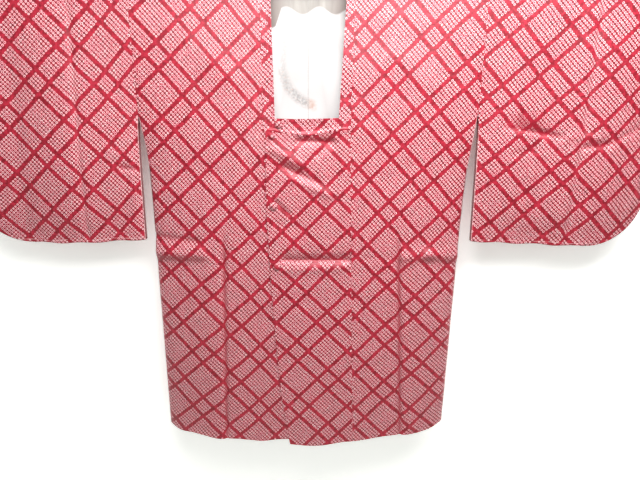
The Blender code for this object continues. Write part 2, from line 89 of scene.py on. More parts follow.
# Sleeves; the back layer shows less past the front one than in part.py
SLEEVE_WIDTH = 0.330
SLEEVE_CORNER = 0.100
SLEEVE_DROP = 0.469
SLEEVE_RISE = 0.008
CUFF = 0.230
SLEEVE_PUFF = 0.006
BACK_SHIFT = 0.001
EDGE_BULGE = 0.002
CUFF_STEP = 0.012
SLEEVE_OPEN = 0.223
SLEEVE_GAP = 0.0045
SLEEVE_GAP_LOW = 0.0035
SHIFT_LENGTH = 0.10
RISE_START = 0.30
PUFF_FULL, PUFF_FADE = 0.25, 0.40
WAVE_START, WAVE_LENGTH = 0.02, 0.16
WAVE_INNER, WAVE_OUTER = 0.06, 0.03

# Roundness of the coat's level section
SECTION_X = 2.1
SECTION_Y = 1.6
FRONT_BELLY = 0.060
BACK_BELLY = 0.022
BELLY_DROP = 0.883

# Drop, half width of the body to the right, to the left, half gap between front and back at the side edge.
# Below the armhole the widths keep closer to the hung coat than part.py's.
SIDES = (
    (0.000, 0.3120, 0.3120, 0.0088),
    (0.216, 0.3120, 0.3120, 0.0046),
    (0.225, 0.3116, 0.3104, 0.0045),
    (0.260, 0.3060, 0.3065, 0.0042),
    (0.290, 0.3022, 0.3038, 0.0021),
    (0.325, 0.3004, 0.3002, 0.0000),
    (0.380, 0.2998, 0.2975, 0.0000),
    (0.460, 0.3000, 0.2952, 0.0000),
    (0.510, 0.3002, 0.2945, 0.0000),
    (0.885, 0.3005, 0.2893, 0.0000),
)
HALF_COLUMN = {-1: 1, 1: 2}
SIDE_GAP = 3
# Drop, front seam of the upper front, of the lower front, free edge of the upper lap, of the lower lap.
# The upper front is the left one.
LAPS = (
    (0.0000, 0.0820, -0.0820, -0.0775, 0.0690),
    (0.2475, 0.0773, -0.0826, -0.0772, 0.0690),
    (0.4000, 0.0810, -0.0867, -0.0780, 0.0690),
    (0.5100, 0.0838, -0.0904, -0.0725, 0.0650),
    (0.6400, 0.0870, -0.0946, -0.0648, 0.0570),
    (0.7600, 0.0900, -0.0984, -0.0545, 0.0470),
    (0.8900, 0.0932, -0.1026, -0.0355, 0.0300),
)
SEAM_COLUMN = {-1: 2, 1: 1}
EDGE_COLUMN = {-1: 4, 1: 3}
SIDE_NAMES = {-1: "right", 1: "left"}
# Side, distance of a fold from the centre at its start, at the hem, start, depth
FRONT_FOLDS = (
    (-1, 0.160, 0.172, 0.38, 0.005),
    (1, 0.170, 0.193, 0.38, 0.005),
)
FOLD_REACH = 0.045
FOLD_GROWTH = 0.2
FOLD_RISE = (-0.3, 0.5)
FOLD_FALL = (0.4, 1.4)
# Side, distance of a sleeve's wave from its inner edge, half width, depth
SLEEVE_WAVES = (
    (-1, 0.130, 0.050, 0.005),
    (-1, 0.245, 0.045, -0.004),
    (1, 0.240, 0.050, 0.005),
    (1, 0.120, 0.045, -0.004),
)
# Covered buttons: distance from the centre, drop, radius with the gathered cover, which is a little more
# than in part.py, and the pattern's place at their middle
BUTTONS = (
    (-0.0528, 0.2397, 0.0066, -0.120, 0.080),
    (-0.0662, 0.2600, 0.0068, 0.375, 0.262),
    (-0.0640, 0.3884, 0.0080, 0.100, 0.050),
    (-0.0598, 0.5059, 0.0074, 0.320, 0.200),
)
BUTTON_SPREAD = 7.5     # pattern lengths for each metre of the cover
BUTTON_HEIGHT = 0.0046
BUTTON_RIM = 0.3
BUTTON_TURN = 1.75      # radians of the dome, which turns in under itself past a right angle
BUTTON_TUCK = 0.35
PLEATS, PLEAT_DEPTH = 15, 0.00030
PLEAT_DRIFTS, PLEAT_DRIFT = 3, 0.8
PLEAT_START, PLEAT_GROWTH = 1.2, 4
SEAT_STEP = 0.002

# The back's lining where it shows, half the gap of its centre seam, and its slack
LINING_TOP, LINING_END, LINING_HALF = 0.0265, 0.340, 0.140
LINING_SEAM = 0.00005
SLACK, SLACK_ACROSS, SLACK_DOWN, SLACK_HELD = 0.0006, 0.05, 0.09, 0.1

# Mesh steps
STEP = 0.0046
STEP_ACROSS = 0.0027
LAP_STEP, LAP_WIDTH = 0.0022, 0.16
ROLL_ROWS = 10
ROUND_ROWS = 26
COLLAR_LEVEL, COLLAR_ACROSS = 0.15, 16
BUTTON_SIDES, BUTTON_RINGS = 72, 12

# The collar's level part: where it starts, and in shares of the band's width its piped seam, its folded
# edge, and the hollow between them
LEVEL_START, LEVEL_FADE = 0.004, 0.008
COLLAR_PIPING, PIPING_PLACE, PIPING_REACH = 0.0011, 0.10, 0.12
COLLAR_EDGE, EDGE_PLACE = 0.0007, 0.95
HOLLOW, HOLLOW_X, HOLLOW_REACH, HOLLOW_START = 0.0018, 0.006, 0.028, 0.3
# How far it hangs down between its corners, at its edge, and how much further at its seam
NECK_SAG, NECK_SAG_PLACE, NECK_SAG_REACH = 0.0065, -0.020, 0.075
SEAM_SAG, SEAM_SAG_PLACE, SEAM_SAG_REACH = 0.0055, 0.000, 0.036
SAG_FADE = 0.10

# Length over which the back neck's curve fades, and how far the sleeves lean out from the body
NECK_FADE = 0.06
SLEEVE_LEAN = 0.0068

# Puckers of the upper lap, from this share of its width to its free edge
PUCKER_START, PUCKER_SIZE = 0.86, 0.014
PUCKER, PUCKER_LIFT = 0.0008, 0.0004


def in_metres(table):
    """The same rows for each piece, from millimetres."""
    return {piece: [[number / 1000 for number in row] for row in rows] for piece, rows in table.items()}


# Creases in millimetres: x and drop of two ends, reach above or left of the crease, reach below or right of
# it, and depth, which is negative in a trough. A drop below zero lies on the back.
CREASES = in_metres({
    "body_right": (
        (-160.8, 425, -171.8, 930, 5, 5, -6.2),
        (-345, 490, -180, 486, 16, 11, 6.4),
        (-330, 506, -190, 501, 6, 12, -1.4),
        (-320, 452, -195, 462, 6, 10, -3.8),
        (-260, 300, -130, 335, 20, 20, -1.4),
        (-230, 80, -110, 180, 25, 25, 1.8),
        (-290, 640, -200, 610, 16, 16, 1.2),
        (-280, -505, -120, -490, 6, 10, -4.1),
        (-150, -350, -170, -930, 10, 10, -4.3),
        (-250, -120, -90, -200, 24, 24, -1.8),
    ),
    "body_left": (
        (172.5, 425, 196, 930, 5, 5, -6.2),
        (170, 490, 250, 484, 13, 11, 5),
        (215, 481, 330, 500, 13, 11, 5),
        (210, 497, 330, 515, 6, 12, -1.4),
        (95, 494, 170, 490, 8, 6, -1.9),
        (210, 300, 130, 350, 20, 20, -1.4),
        (130, 110, 250, 190, 24, 24, 1.8),
        (200, 620, 290, 650, 16, 16, 1.2),
        (120, -500, 290, -510, 6, 10, -4.1),
        (160, -380, 190, -930, 10, 10, -4.3),
        (90, -220, 250, -130, 24, 24, 1.8),
    ),
    "lap_left": (
        (-76, 278, -1, 318, 13, 10, 4.8),
        (-60, 309, 30, 350, 8, 9, -4),
        (-42, 333, 52, 372, 10, 9, 3.8),
        (-50, 251.5, 90, 250, 4, 5, 1.6),
        (-30, 268, 56, 270, 6, 11, -5),
        (10, 300, 50, 262, 6, 6, -3),
        (-64, 494.5, 96, 494.2, 12, 4, -6.5),
        (-64, 512, 90, 507, 6, 10, 2.4),
        (-70, 420, 0, 440, 12, 12, -1.4),
        (50, 560, 55, 820, 14, 14, 1.4),
        (-64, 376, -30, 410, 5, 5, -3),
    ),
    "sleeve_right": (
        (-700, 330, -260, 340, 100, 120, 5.5),
        (-415, 0, -430, 520, 6, 6, -2.6),
        (-360, 320, -315, 326, 6, 4, -4.1),
        (-390, 288, -340, 300, 12, 12, 1.5),
        (-620, 250, -530, 200, 20, 20, 1.5),
        (-530, 0, -550, 520, 16, 16, -1.8),
        (-420, -50, -430, -500, 10, 10, -4.7),
        (-330, -250, -520, -260, 8, 8, -3.4),
    ),
    "sleeve_left": (
        (260, 330, 700, 320, 100, 120, 5.5),
        (512, 0, 498, 520, 6, 6, -2.6),
        (375, 221, 462, 235, 6, 4, -4.8),
        (385, 235, 458, 245, 5, 5, 2.6),
        (350, 240, 480, 263, 7, 4, -4.4),
        (470, 262, 545, 260, 7, 6, 2.6),
        (502, 281, 560, 272, 7, 4.5, -4.2),
        (540, 280, 635, 230, 7, 5, -3),
        (375, 294, 430, 283, 6, 6, -2.4),
        (510, -50, 500, -500, 10, 10, -4.7),
        (340, -260, 540, -240, 8, 8, -3.4),
    ),
})
CREASES["lap_right"] = CREASES["lap_left"]
# Narrow folds that take in a little cloth, in millimetres: x and drop of two ends, and the width taken
GATHERS = in_metres({
    "body_right": ((-160, 400, -172, 930, 8),),
    "body_left": ((172.5, 400, 196, 930, 8),),
    "sleeve_right": ((-415, -50, -430, 520, 5.8),),
    "sleeve_left": ((512, -50, 498, 520, 5.5),),
})
GATHER_HALF = 0.0045
GATHER_REACH = 0.030

# A crease fades at its ends over this share of its length, and sideways by this many of its reaches
CREASE_FADE = 0.16
CREASE_END = 3
CREASE_POINT = 1.5
# Depth of a full narrow fold, and half width of the painted shade line in it
FOLD_DEPTH = -0.0060
FOLD_HALF = 0.0030
# Painted shade of cloth that faces down: where the slope is read, the slopes over which it grows, and its
# most
SLOPE_STEP = 0.001
SLOPE_START, SLOPE_RANGE = 0.12, 0.50
SLOPE_SHADE = 0.9
# Soft ripples as size, depth and place in the noise, and how they are held near a sleeve's edges
RIPPLES = ((0.055, 0.0010, 7.0), (0.022, 0.0004, 10.0))
RIPPLE_EDGE, RIPPLE_LEAST = 0.02, 0.3
# Waves of the lower edges: radians for each metre of the body's hem, and for a sleeve's whole width
HEM_WAVE, HEM_WAVE_TURN, HEM_WAVE_START = 0.0010, 62.0, 0.6
HEM_CORNER, HEM_CORNER_REACH = 0.0085, 0.018
SLEEVE_WAVE, SLEEVE_WAVE_TURN = 0.0012, 19.0

# Pairs of numbers that the corners of the faces carry, as in places()
LAYERS = ("pattern", "shade", "hem")
CENTIMETRES = 100
# Centimetres to a finished edge, for cloth that has none near it
FAR = 9.0

# Pattern: place of one big square's centre (x, drop), repeats per metre across and their lean, tilt and
# repeats per metre down, and how the upright and the level threads bow
PATTERN = {
    "body_left": (0.213, 0.404, 8.12, 0.10, -0.32, 8.00, (-1.8, 0.4, -0.3), (-1.0, -1.0, 0.2)),
    "body_right": (-0.205, 0.381, 8.14, 0.13, -0.42, 7.98, (3.0, 0.1, 0.3), (-0.4, 1.7, 0.2)),
    "lap_left": (0.037, 0.558, 8.22, -0.16, -0.05, 8.22, (0.0, 0.8, 0.1), (-1.9, -0.3, 0.1)),
    "collar": (0.0015, 0.221, 7.70, 0.00, 0.00, 7.70, (0.0, 0.0, 0.0), (0.0, 0.0, 0.0)),
    "sleeve_right": (-0.485, 0.232, 7.93, -0.01, -0.45, 7.86, (2.4, 0.9, 0.1), (2.1, 0.1, 0.2)),
    "sleeve_left": (0.476, 0.259, 7.96, 0.02, -0.01, 7.81, (1.0, -0.2, -1.1), (2.0, -0.7, -0.1)),
}
PATTERN["lap_right"] = PATTERN["body_right"]
# Plain lines, in pattern lengths: distance from a big square's centre, half width, soft edge, and how far
# their red fades into that of the blocks
LINE_PLACE = 0.3213
LINE_HALF, LINE_SOFT, LINE_TURN = 0.036, 0.006, 0.016
WOBBLE, WOBBLE_SCALE = 0.030, 45.0
# Rings: pitch along each diagonal in pattern lengths, half size in pitches, squareness, range of sizes, and
# in shares of the way out to the rim where the dark heart ends and where the ground begins
RING_ALONG, RING_ACROSS = 0.05706, 0.07132
RING_HALF_ALONG, RING_HALF_ACROSS = 0.41, 0.36
RING_SQUARE = 2.3
RING_SIZES = (0.86, 1.16)
HEART_END = (0.42, 0.52)
RIM_END = (0.94, 1.06)
RING_LABELS = 38.0       # keeps the numbers of one block's rings apart from the next one's
# Share of the painted fold shade that is mixed into the silk's colour
FOLD_SHADE = 0.65
# Width of the painted highlight along the finished side edges, and place above a sleeve's lower edge of a
# painted highlight line with its solid and soft half widths, in centimetres
EDGE_HIGHLIGHT = 0.18
HEM_HIGHLIGHT = 0.40
HEM_HIGHLIGHT_HALF = (0.03, 0.07)

# The lining's brushed arc, its centre as (x, drop), and the scallops of the painted shadow above it
ARC_PLACE = (0.030, 0.130)
ARC_RADIUS = 0.0795
ARC_HALF = 0.0125
ARC_STRENGTH = 0.70
SCALLOP, SCALLOP_TURN, SCALLOP_SHIFT, SCALLOP_DROP = 0.0062, 108.0, 0.0097, 0.0450

# Reach of the painted shade inside the coat
INSIDE_REACH = 0.05

# Studio
BOARD_SIZE = 8.0
WALL_PLACE, FLOOR_PLACE = (0.0, 0.060, 1.5), (0.0, 0.0, -1.45)
# Painted light of the wall: its glow, how much of it the painted shade behind the coat takes off, and that
# shade's reach
BACKDROP_GLOW, BACKDROP_SHADE, BACKDROP_REACH = 0.46, 0.36, 0.20
LAMP_PLACE, LAMP_AIM = (0.22, -0.68, 0.45), (0.02, 0.0, -0.25)
LAMP_SIZE, LAMP_POWER = (1.2, 0.6), 31.5
ROOM_LIGHT = 0.38

# Photo's view
LENS = 29.25
SENSOR = 36.0
CAMERA_PLACE = (0.023, -0.985, SHOULDER - 0.1807)
CAMERA_PITCH = 16.0
CAMERA_ROLL = -0.3


def soft(t):
    """Smooth step from 0 to 1."""
    t = min(max(t, 0.0), 1.0)
    return t * t * (3 - 2 * t)


def bell(distance, reach):
    """1 in the middle, falling away smoothly to both sides."""
    return exp(-((distance / reach) ** 2))


def between(start, end, share):
    return start + (end - start) * share


def side_of(x):
    return 1 if x > 0 else -1


def read(table, drop, column):
    """Value of a table's column at a drop, straight between its rows."""
    for upper, lower in zip(table, table[1:]):
        if drop <= lower[0]:
            share = (drop - upper[0]) / (lower[0] - upper[0])
            return upper[column] + max(share, 0.0) * (lower[column] - upper[column])
    return table[-1][column]


def drop_of(run):
    """Height below the shoulder line of a run along the cloth, past the roll over the rod."""
    return ROLL + abs(run) - QUARTER


def run_of(drop):
    return drop - ROLL + QUARTER


def cloth_drop(run):
    """Drop along the cloth itself: it goes on below zero over the shoulder and down the back."""
    return ROLL - QUARTER - run


def half_width(side, drop):
    return read(SIDES, drop, HALF_COLUMN[side])


def roundness(x, drop):
    """1 at the centre of the level section, 0 at its side edge."""
    share = min(abs(x) / half_width(side_of(x), drop), 1.0)
    return (1 - share ** SECTION_X) ** (1 / SECTION_Y)


def belly(reach, drop):
    """How far the cloth stands off the middle plane at the centre, more towards the hem."""
    return ROLL + (reach - ROLL) * max(drop - ROLL, 0.0) / (BELLY_DROP - ROLL)


def fold_depth(x, drop):
    """The outer strip of each front stands forward along a soft upright fold."""
    depth = 0.0
    for side, start_place, hem_place, start, height in FRONT_FOLDS:
        share = min(max((drop - start) / (BELLY_DROP - start), 0.0), 1.0)
        past = (x * side - between(start_place, hem_place, share)) / FOLD_REACH
        rise = soft((past - FOLD_RISE[0]) / FOLD_RISE[1])
        fall = soft((past - FOLD_FALL[0]) / FOLD_FALL[1])
        depth += height * soft((drop - start) / FOLD_GROWTH) * rise * (1 - fall)
    return depth


def front_depth(x, drop):
    side_gap = read(SIDES, drop, SIDE_GAP)
    rise = belly(FRONT_BELLY, drop) - side_gap + fold_depth(x, drop)
    return side_gap + rise * roundness(x, drop)


def back_depth(x, drop):
    side_gap = read(SIDES, drop, SIDE_GAP)
    return side_gap + (belly(BACK_BELLY, drop) - side_gap) * roundness(x, drop)


def drape(x, run, lift=0.0):
    """A point of the cloth in space, lifted off its surface."""
    if abs(run) < QUARTER:
        angle = run / ROLL
        radius = ROLL + lift
        return Vector((x, radius * sin(angle), radius * cos(angle) - ROD_DROP))
    drop = drop_of(run)
    if run < 0:
        return Vector((x, -front_depth(x, drop) - lift, SHOULDER - drop))
    return Vector((x, back_depth(x, drop) + lift, SHOULDER - drop))


def lap_lift(side, x, drop):
    """The upper front lies outside the lower one, and both return to one surface at the sides."""
    height = (CLOTH + LAYER) / 2
    away = 1 - soft((abs(x) - LAP_PLACE) / LAP_REACH)
    if x * side < 0:
        away = 1.0
    return side * height * away * soft((drop - LAP_START) / LAP_LENGTH)


def sag(x, share=0.0):
    """How far the level part of the collar hangs down between its corners: at its seam, or at its edge."""
    edge = NECK_SAG * bell(x - NECK_SAG_PLACE, NECK_SAG_REACH)
    return edge + (1 - share) * SEAM_SAG * bell(x - SEAM_SAG_PLACE, SEAM_SAG_REACH)


def front_hem(side, x):
    wave = HEM_WAVE * sin(x * HEM_WAVE_TURN + HEM_WAVE_START)
    wave -= HEM_CORNER * bell(half_width(side, HEM[side]) - abs(x), HEM_CORNER_REACH)
    if side < 0:
        return HEM[side] - LOWER_RISE * soft((x - LOWER_RISE_PLACE) / LOWER_RISE_REACH) + wave
    return HEM[side] + UPPER_HEM * bell(x, UPPER_REACH) + wave


def back_hem(side, x):
    return between(BACK_HEM, HEM[side], min(abs(x) / HEM_SIDE, 1.0))


def back_neck_run(x):
    """Run of the back neck seam, from the roll at the neck's corner to its lowest at the centre."""
    share = min(abs(x) / NECK_SEAM, 1.0)
    return QUARTER + (BACK_NECK - ROLL) * sqrt(1 - share * share)


def beside(dx, dd, along_x, along_drop):
    """Share of the way along a line, and distance from it, which is positive above it or left of it."""
    length = hypot(along_x, along_drop)
    place = (dx * along_x + dd * along_drop) / length ** 2
    away = (dx * along_drop - dd * along_x) / length
    return place, away


def shown(place):
    """How much of a crease's depth is left at a share of its length."""
    return soft(place / CREASE_FADE) * soft((1 - place) / CREASE_FADE)


def relief(piece, x, drop):
    """Creases and soft ripples of a piece, outward, at a place of its cloth."""
    height = 0.0
    for x1, drop1, x2, drop2, before, after, depth in CREASES.get(piece, ()):
        place, away = beside(x - x1, drop - drop1, x2 - x1, drop2 - drop1)
        reaches = abs(away) / (before if away > 0 else after)
        if 0 < place < 1 and reaches < CREASE_END:
            height += depth * shown(place) * exp(-(reaches ** CREASE_POINT))
    for size, depth, start in RIPPLES:
        height += depth * noise.noise(Vector((x / size, drop / size, start)))
    return height


def fold_shade(piece, x, drop):
    """How much painted shade the silk's colour gets at a place, 0 to 1, for how little light reaches it: it
    faces down from a crease or lies deep in a narrow fold.
    """
    above, below = relief(piece, x, drop - SLOPE_STEP), relief(piece, x, drop + SLOPE_STEP)
    slope = (above - below) / (2 * SLOPE_STEP)
    shade = SLOPE_SHADE * soft((slope - SLOPE_START) / SLOPE_RANGE)
    for x1, drop1, x2, drop2, _, _, depth in CREASES.get(piece, ()):
        if depth > FOLD_DEPTH / 2:
            continue
        place, away = beside(x - x1, drop - drop1, x2 - x1, drop2 - drop1)
        if 0 < place < 1 and abs(away) < CREASE_END * FOLD_HALF:
            shade += min(depth / FOLD_DEPTH, 1.0) * shown(place) * bell(away, FOLD_HALF)
    return min(shade, 1.0)


def gathered(piece, x, drop):
    """Place on the flat cloth, where the narrow folds have taken some of it in."""
    for x1, drop1, x2, drop2, width in GATHERS.get(piece, ()):
        along_x, along_drop = x2 - x1, drop2 - drop1
        place, away = beside(x - x1, drop - drop1, along_x, along_drop)
        held = soft(place / CREASE_FADE) * soft((1 - place) / CREASE_FADE + 1)
        taken = width / 2 * held * tanh(away / GATHER_HALF) * bell(away, GATHER_REACH)
        taken /= hypot(along_x, along_drop)
        x, drop = x + taken * along_drop, drop - taken * along_x
    return x, drop


def places(piece, x, drop, side_edge=FAR, hem_edge=FAR):
    """What the silk needs to know at a place, as the pairs of LAYERS: the place in the pattern along its two
    diagonals, the painted shade in a fold with the distance from the finished side, and that from the lower
    edge."""
    shade = fold_shade(piece, x, drop)
    x, drop = gathered(piece, x, drop)
    x0, drop0, across, lean, tilt, down, bow_right, bow_below = PATTERN[piece]
    dx, dd = x - x0, drop - drop0
    bent = max(drop, 0.0) - drop0

    def bowed(bow):
        return bow[0] * dx * dx + bow[1] * dx * bent + bow[2] * bent * bent

    right = across * dx + lean * dd + bowed(bow_right)
    below = tilt * dx + down * dd + bowed(bow_below)
    return (right + below, right - below), (shade, side_edge), (hem_edge, 0.0)


def plain_places(right, below):
    """The same pairs for cloth without folds or edges."""
    return (right, below), (0.0, FAR), (FAR, 0.0)


def put(name, data):
    """A new object in the scene."""
    thing = bpy.data.objects.new(name, data)
    bpy.context.scene.collection.objects.link(thing)
    return thing


class Shell:
    """One cloth piece in the making: its points, and its faces with the pairs of LAYERS at each corner."""

    def __init__(self, name):
        self.name = name
        self.points = []
        self.faces = []
        self.corners = []

    def point(self, where, place):
        self.points.append(where)
        return (len(self.points) - 1, place)

    def cloth(self, x, run, lift=0.0):
        """A point of this piece's cloth where drape() hangs it."""
        drop = cloth_drop(run)
        where = drape(x, run, lift + relief(self.name, x, drop))
        side_edge = FAR
        if self.name.startswith("body") and abs(run) > run_of(ARMHOLE[side_of(x)]):
            side_edge = CENTIMETRES * (half_width(side_of(x), drop_of(run)) - abs(x))
        return self.point(where, places(self.name, x, drop, side_edge))

    def grid(self, rows, flip=False):
        for upper, lower in zip(rows, rows[1:]):
            for k in range(len(upper) - 1):
                ring = [upper[k], upper[k + 1], lower[k + 1], lower[k]]
                self.face(ring[::-1] if flip else ring)

    def face(self, ring):
        kept = [corner for n, corner in enumerate(ring) if corner[0] != ring[n - 1][0]]
        if len(kept) < 3:
            return
        self.faces.append([index for index, place in kept])
        self.corners.extend(place for index, place in kept)

    def make(self, outside, inside, wall):
        mesh = bpy.data.meshes.new(self.name)
        mesh.from_pydata([tuple(p) for p in self.points], [], self.faces)
        for number, name in enumerate(LAYERS):
            layer = mesh.uv_layers.new(name=name)
            for corner, place in zip(layer.data, self.corners):
                corner.uv = place[number]
        mesh.shade_smooth()
        users = [0] * len(mesh.edges)
        for loop in mesh.loops:
            users[loop.edge_index] += 1
        for edge, count in zip(mesh.edges, users):
            edge.use_edge_sharp = count == 1
        mesh.materials.append(outside)
        mesh.materials.append(inside)
        thing = put("cloth_" + self.name, mesh)
        shell = thing.modifiers.new("wall", "SOLIDIFY")
        shell.thickness = wall
        shell.offset = 0.0
        shell.material_offset = 1
        shell.material_offset_rim = 1 if self.name.startswith("sleeve") else 0
        return thing


def steps(start, end, size=STEP):
    """Even steps from start to end, about size apart."""
    count = max(2, round(abs(end - start) / size))
    return [start + (end - start) * step / count for step in range(count + 1)]


def shares(size):
    """Even shares of a length, 0 to 1, about size apart."""
    return steps(0.0, 1.0, size)


def body_half(side):
    """One length of cloth from the front hem over the shoulder to the back hem, sewn down its side."""
    shell = Shell("body_" + SIDE_NAMES[side])
    armhole = ARMHOLE[side]
    fixed = steps(ROLL, armhole) + steps(armhole, SIDE_SLIT)[1:]
    lower = shares(STEP / (HEM[side] - SIDE_SLIT))[1:]
    wide = shares(STEP_ACROSS / (SHOULDER_HALF - NECK_SEAM))
    under_neck = shares(STEP_ACROSS / NECK_SEAM)[:-1]

    def row_drop(row, hem):
        """Drop of a row: those below the slit spread down to the hem."""
        if row < len(fixed):
            return fixed[row]
        return between(SIDE_SLIT, hem, lower[row - len(fixed)])

    def across(drop, inner, share):
        sewn = SEAM / 2 if drop <= armhole + SEAM else 0.0
        return side * (inner + (half_width(side, drop) - sewn - inner) * share)

    levels = [row_drop(row, HEM[side]) for row in range(len(fixed) + len(lower))]
    front = []
    for row, level in enumerate(levels):
        seam = abs(read(LAPS, level, SEAM_COLUMN[side])) + SEAM / 2
        line = []
        for share in wide:
            x = across(level, seam, share)
            drop = row_drop(row, front_hem(side, x))
            line.append(shell.cloth(x, -run_of(drop), lap_lift(side, x, drop)))
        front.append(line)

    roll = []
    for turn in shares(1 / ROLL_ROWS)[1:-1]:
        run = between(-QUARTER, QUARTER, turn)
        roll.append([shell.cloth(across(ROLL, NECK_SEAM + SEAM / 2, share), run) for share in wide])

    back = []
    for row, level in enumerate(levels):
        line = []
        for share in under_neck:
            x = side * (SEAM / 2 + NECK_SEAM * share)
            run = run_of(row_drop(row, back_hem(side, x)))
            sunk = back_neck_run(x) + SEAM / 2 - QUARTER
            run += sunk * (1 - soft((run - QUARTER) / NECK_FADE))
            line.append(shell.cloth(x, run))
        for share in wide:
            x = across(level, NECK_SEAM + SEAM / 2, share)
            run = run_of(row_drop(row, back_hem(side, x)))
            if share == 1.0 and level > SIDE_SLIT - SEAM:
                index = front[row][-1][0]
                line.append((index, places(shell.name, x, cloth_drop(run), 0.0)))
            else:
                line.append(shell.cloth(x, run))
        back.append(line)

    flip = side < 0
    shell.grid(front[::-1] + roll + [back[0][len(under_neck):]], flip)
    shell.grid(back, flip)
    return shell


def front_lap(side):
    """The overlap panel down the front edge, from the collar to the hem."""
    shell = Shell("lap_" + SIDE_NAMES[side])
    top = COLLAR_DROP + SEAM / 2
    rows = []
    for share in shares(LAP_STEP / (HEM[side] - top)):
        level = top + (HEM[side] - COLLAR_DROP) * share
        seam = read(LAPS, level, SEAM_COLUMN[side]) - side * SEAM / 2
        edge = read(LAPS, level, EDGE_COLUMN[side])
        line = []
        for across in shares(LAP_STEP / LAP_WIDTH):
            x = between(seam, edge, across)
            drop = between(top, front_hem(side, x), share)
            drop += sag(x) * (1 - soft((drop - top) / SAG_FADE))
            lift = lap_lift(side, x, drop)
            if side > 0:
                lift += puckers(across, drop)
            line.append(shell.cloth(x, -run_of(drop), lift))
        rows.append(line)
    shell.grid(rows, side < 0)
    return shell


def puckers(share, drop):
    """Small bumps along the free edge of the upper lap."""
    bumps = PUCKER * noise.noise(Vector((drop / PUCKER_SIZE, 3.0, 1.0)))
    return soft((share - PUCKER_START) / (1 - PUCKER_START)) * (bumps + PUCKER_LIFT)


def collar_rows():
    """Rows across the collar band as (side of the lap, seam x, seam run, inner x, inner run), end to end."""
    neck_run, seam_run = -run_of(NECK_DROP), -run_of(COLLAR_DROP - SEAM / 2)

    def seam_x(side, drop):
        return side * (abs(read(LAPS, drop, SEAM_COLUMN[side])) - SEAM / 2)

    def half(side):
        """From the end that laps with the other front, up the front's edge and over the rod."""
        far_seam, far_inner = COLLAR_ENDS[side]
        for share in shares(STEP_ACROSS / COLLAR_LEVEL):
            outer = between(far_seam, seam_x(side, COLLAR_DROP), share)
            yield side, outer, seam_run, between(far_inner, side * NECK_EDGE[side], share), neck_run
        for share in shares(STEP_ACROSS / NECK_DROP)[-2::-1]:
            outer_run = between(-QUARTER, seam_run, share)
            inner = side * between(NECK_EDGE_TOP[side], NECK_EDGE[side], share)
            inner_run = between(-QUARTER, neck_run, share)
            yield side, seam_x(side, drop_of(outer_run)), outer_run, inner, inner_run
        for share in shares(1 / ROLL_ROWS)[1:]:
            outer_run = between(-QUARTER, QUARTER, share)
            inner = side * between(NECK_EDGE_TOP[side], COLLAR_TURN, share)
            inner_run = between(-QUARTER, COLLAR_BACK_START, share)
            yield side, side * (NECK_SEAM - SEAM / 2), outer_run, inner, inner_run

    def back():
        for share in steps(1.0, -1.0, STEP / NECK_SEAM)[1:-1]:
            x = NECK_SEAM * share
            inner_run = between(COLLAR_BACK_START, COLLAR_BACK_RUN, sqrt(1 - share * share))
            yield side_of(x), x, back_neck_run(x) - SEAM / 2, COLLAR_TURN * share, inner_run

    return [*half(1), *back(), *list(half(-1))[::-1]]


def collar():
    """One narrow band round the neck, mitred at the front corners, its folded edges standing proud."""
    shell = Shell("collar")
    rows = []
    for side, outer, outer_run, inner, inner_run in collar_rows():
        line = []
        for share in shares(1 / COLLAR_ACROSS):
            x = between(outer, inner, share)
            run = between(outer_run, inner_run, share)
            if run < -QUARTER:
                lift = lap_lift(side, x, drop_of(run))
            else:
                lift = COLLAR_LIFT * soft(2 + run / QUARTER)
            level = soft((-run - run_of(NECK_DROP) + LEVEL_START) / LEVEL_FADE)
            run -= level * sag(x, share)
            hollow = HOLLOW * bell(x - HOLLOW_X, HOLLOW_REACH) * soft(share / HOLLOW_START)
            lift += level * (COLLAR_PIPING * bell(share - PIPING_PLACE, PIPING_REACH) - hollow)
            lift += COLLAR_EDGE * bell(share - EDGE_PLACE, PIPING_REACH)
            line.append(shell.cloth(x, run, lift))
        rows.append(line)
    shell.grid(rows, True)
    return shell


